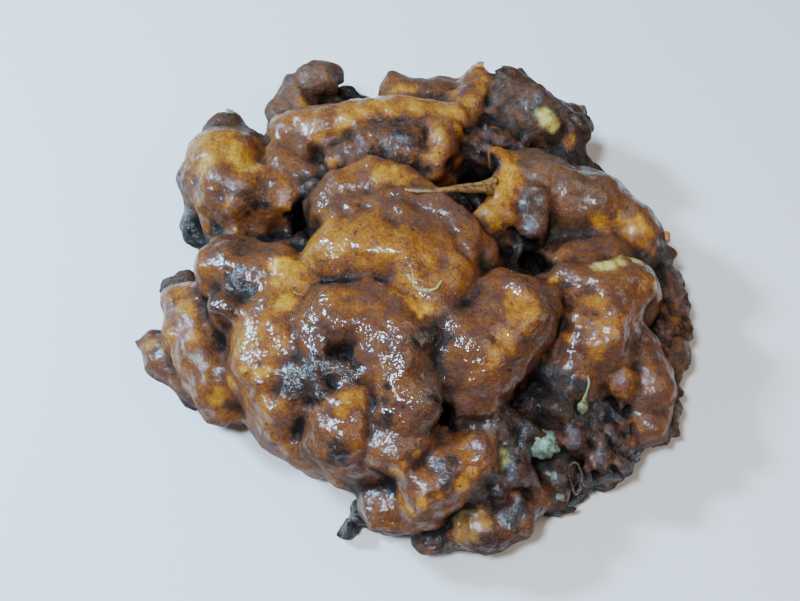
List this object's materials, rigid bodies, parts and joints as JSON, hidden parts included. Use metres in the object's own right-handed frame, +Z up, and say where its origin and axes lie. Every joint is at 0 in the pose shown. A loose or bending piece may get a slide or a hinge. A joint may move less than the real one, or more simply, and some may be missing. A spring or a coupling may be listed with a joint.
{
  "type": "apple fritter",
  "caption": "Apple fritter: one irregular fried pastry of fused round lumps, rolls and folds with deep creases and burnt pits on a flat underside.",
  "frame": {"origin": "on the surface it rests on, under the middle of its outline", "axes": "+X to the fritter's right as it is shown, its longest way; +Y to its back, away from the viewer; +Z up, its shortest way"},
  "size_m": [0.1502, 0.1434, 0.0461],
  "materials": {
    "crust": "fried crust with a thin sugar glaze",
    "apple": "cooked apple flesh, moist",
    "char": "burnt sugar, rough and glassy"
  },
  "bodies": {
    "root": {"fritter": "crust"}
  },
  "joints": []
}
